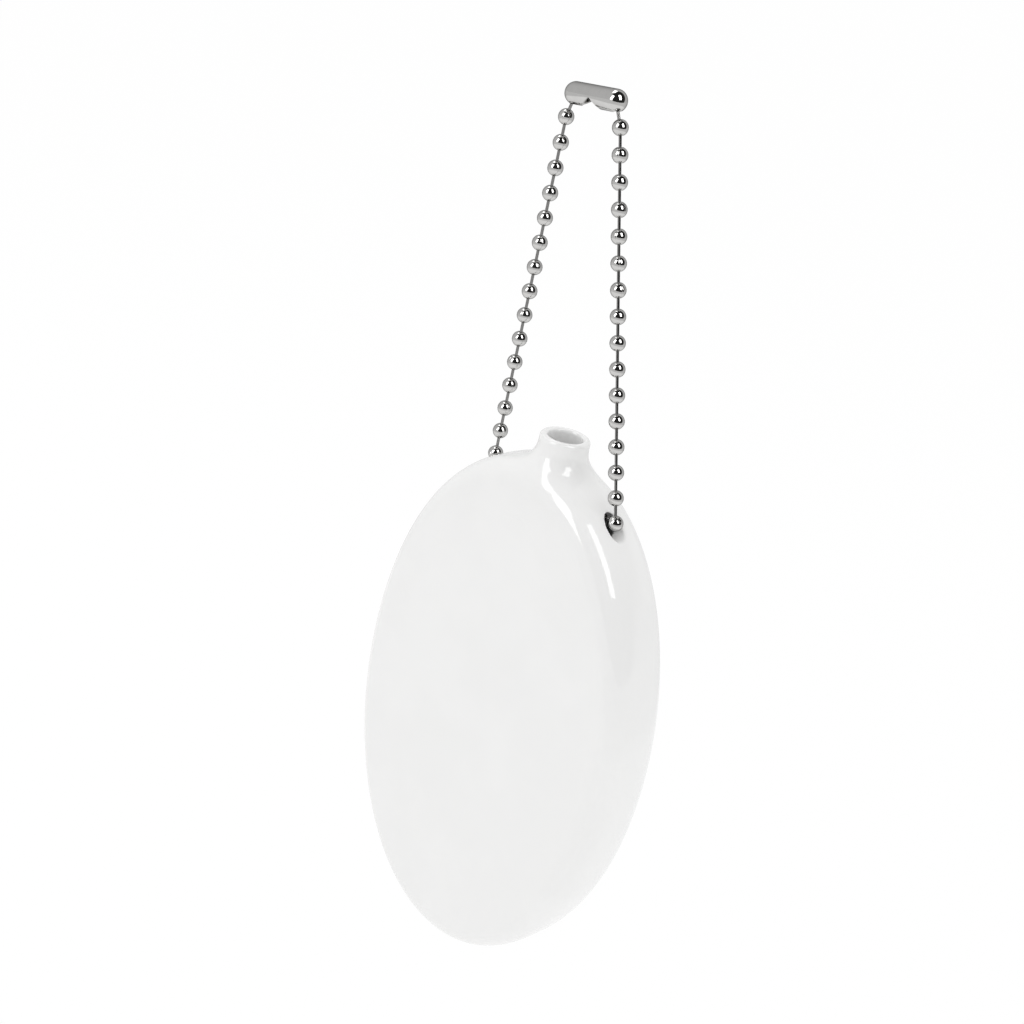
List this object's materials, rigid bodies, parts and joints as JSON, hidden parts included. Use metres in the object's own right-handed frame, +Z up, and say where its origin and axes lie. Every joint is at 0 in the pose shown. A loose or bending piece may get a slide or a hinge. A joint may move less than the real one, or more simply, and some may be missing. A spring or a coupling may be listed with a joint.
{
  "type": "squeeze coin purse",
  "caption": "Oval squeeze coin purse of flexible vinyl with a back slit, a short open neck and a carrying loop of ball chain closed by a connector.",
  "frame": {"origin": "middle of the chain connector, where the purse hangs from a hook, ring or finger", "axes": "+X to the right as the plain front is seen, +Y from the front to the slit back, +Z up along the oval"},
  "size_m": [0.0555, 0.0124, 0.1408],
  "materials": {
    "vinyl": "glossy white flexible vinyl, smooth and slightly soft",
    "nickel": "bright nickel plate on rolled brass and steel sheet"
  },
  "bodies": {
    "connector": {"connector": "nickel"},
    "level_01": {"end_beads": "nickel", "links_01": "nickel", "beads_01": "nickel"},
    "level_02": {"links_02": "nickel", "beads_02": "nickel"},
    "level_03": {"links_03": "nickel", "beads_03": "nickel"},
    "level_04": {"links_04": "nickel", "beads_04": "nickel"},
    "level_05": {"links_05": "nickel", "beads_05": "nickel"},
    "level_06": {"links_06": "nickel", "beads_06": "nickel"},
    "level_07": {"links_07": "nickel", "beads_07": "nickel"},
    "level_08": {"links_08": "nickel", "beads_08": "nickel"},
    "level_09": {"links_09": "nickel", "beads_09": "nickel"},
    "level_10": {"links_10": "nickel", "beads_10": "nickel"},
    "level_11": {"links_11": "nickel", "beads_11": "nickel"},
    "level_12": {"links_12": "nickel", "beads_12": "nickel"},
    "level_13": {"links_13": "nickel", "beads_13": "nickel"},
    "level_14": {"links_14": "nickel", "beads_14": "nickel"},
    "level_15": {"links_15": "nickel", "beads_15": "nickel"},
    "crossing": {"link_16": "nickel", "bead_16": "nickel", "crossing_links": "nickel", "crossing_beads": "nickel"},
    "pouch": {"pouch_shell": "vinyl"},
    "lip_left": {"lip_left": "vinyl"},
    "lip_right": {"lip_right": "vinyl"}
  },
  "joints": [
    {"name": "connector_swing", "type": "hinge", "parent": "connector", "child": "level_01", "pos_m": [0, 0, 0], "axis": [0.9907, 0, 0.1357], "range_deg": [-12, 12]},
    {"name": "level_02_bend", "type": "hinge", "parent": "level_01", "child": "level_02", "pos_m": [0.00064, 0, -0.00455], "axis": [0.9907, 0, 0.1361], "range_deg": [-12, 12]},
    {"name": "level_03_bend", "type": "hinge", "parent": "level_02", "child": "level_03", "pos_m": [0.0012, 0, -0.00827], "axis": [0.9905, 0, 0.1372], "range_deg": [-12, 12]},
    {"name": "level_04_bend", "type": "hinge", "parent": "level_03", "child": "level_04", "pos_m": [0.00176, 0, -0.012], "axis": [0.9904, 0, 0.1382], "range_deg": [-12, 12]},
    {"name": "level_05_bend", "type": "hinge", "parent": "level_04", "child": "level_05", "pos_m": [0.00232, 0, -0.01572], "axis": [0.9903, 0, 0.139], "range_deg": [-12, 12]},
    {"name": "level_06_bend", "type": "hinge", "parent": "level_05", "child": "level_06", "pos_m": [0.00288, 0, -0.01944], "axis": [0.9902, 0, 0.1397], "range_deg": [-12, 12]},
    {"name": "level_07_bend", "type": "hinge", "parent": "level_06", "child": "level_07", "pos_m": [0.00345, 0, -0.02316], "axis": [0.9901, 0, 0.1404], "range_deg": [-12, 12]},
    {"name": "level_08_bend", "type": "hinge", "parent": "level_07", "child": "level_08", "pos_m": [0.00401, 0, -0.02688], "axis": [0.99, 0, 0.1409], "range_deg": [-12, 12]},
    {"name": "level_09_bend", "type": "hinge", "parent": "level_08", "child": "level_09", "pos_m": [0.00457, 0, -0.0306], "axis": [0.99, 0, 0.1414], "range_deg": [-12, 12]},
    {"name": "level_10_bend", "type": "hinge", "parent": "level_09", "child": "level_10", "pos_m": [0.00513, 0, -0.03432], "axis": [0.9899, 0, 0.1418], "range_deg": [-12, 12]},
    {"name": "level_11_bend", "type": "hinge", "parent": "level_10", "child": "level_11", "pos_m": [0.00569, 0, -0.03804], "axis": [0.9898, 0, 0.1422], "range_deg": [-12, 12]},
    {"name": "level_12_bend", "type": "hinge", "parent": "level_11", "child": "level_12", "pos_m": [0.00625, 0, -0.04176], "axis": [0.9898, 0, 0.1425], "range_deg": [-12, 12]},
    {"name": "level_13_bend", "type": "hinge", "parent": "level_12", "child": "level_13", "pos_m": [0.00681, 0, -0.04548], "axis": [0.9897, 0, 0.1428], "range_deg": [-12, 12]},
    {"name": "level_14_bend", "type": "hinge", "parent": "level_13", "child": "level_14", "pos_m": [0.00738, 0, -0.04921], "axis": [0.9897, 0, 0.1431], "range_deg": [-12, 12]},
    {"name": "level_15_bend", "type": "hinge", "parent": "level_14", "child": "level_15", "pos_m": [0.00794, 0, -0.05293], "axis": [0.9897, 0, 0.1434], "range_deg": [-12, 12]},
    {"name": "crossing_bend", "type": "hinge", "parent": "level_15", "child": "crossing", "pos_m": [0.00849, 0, -0.05611], "axis": [0.9948, 0, 0.1022], "range_deg": [-12, 12]},
    {"name": "pouch_swing", "type": "hinge", "parent": "crossing", "child": "pouch", "pos_m": [0.00888, 0, -0.05742], "axis": [1, 0, 0], "range_deg": [-35, 35]},
    {"name": "lip_left_bend", "type": "hinge", "parent": "pouch", "child": "lip_left", "pos_m": [-0.00512, 0.0062, -0.09767], "axis": [0, 0, 1], "range_deg": [0, 45], "stiffness_Nm_per_rad": 0.02},
    {"name": "lip_right_bend", "type": "hinge", "parent": "pouch", "child": "lip_right", "pos_m": [0.02288, 0.0062, -0.09767], "axis": [0, 0, -1], "range_deg": [0, 45], "stiffness_Nm_per_rad": 0.02}
  ],
  "couplings": [
    {"joint": "lip_right_bend", "follows": "lip_left_bend", "ratio": 1}
  ]
}
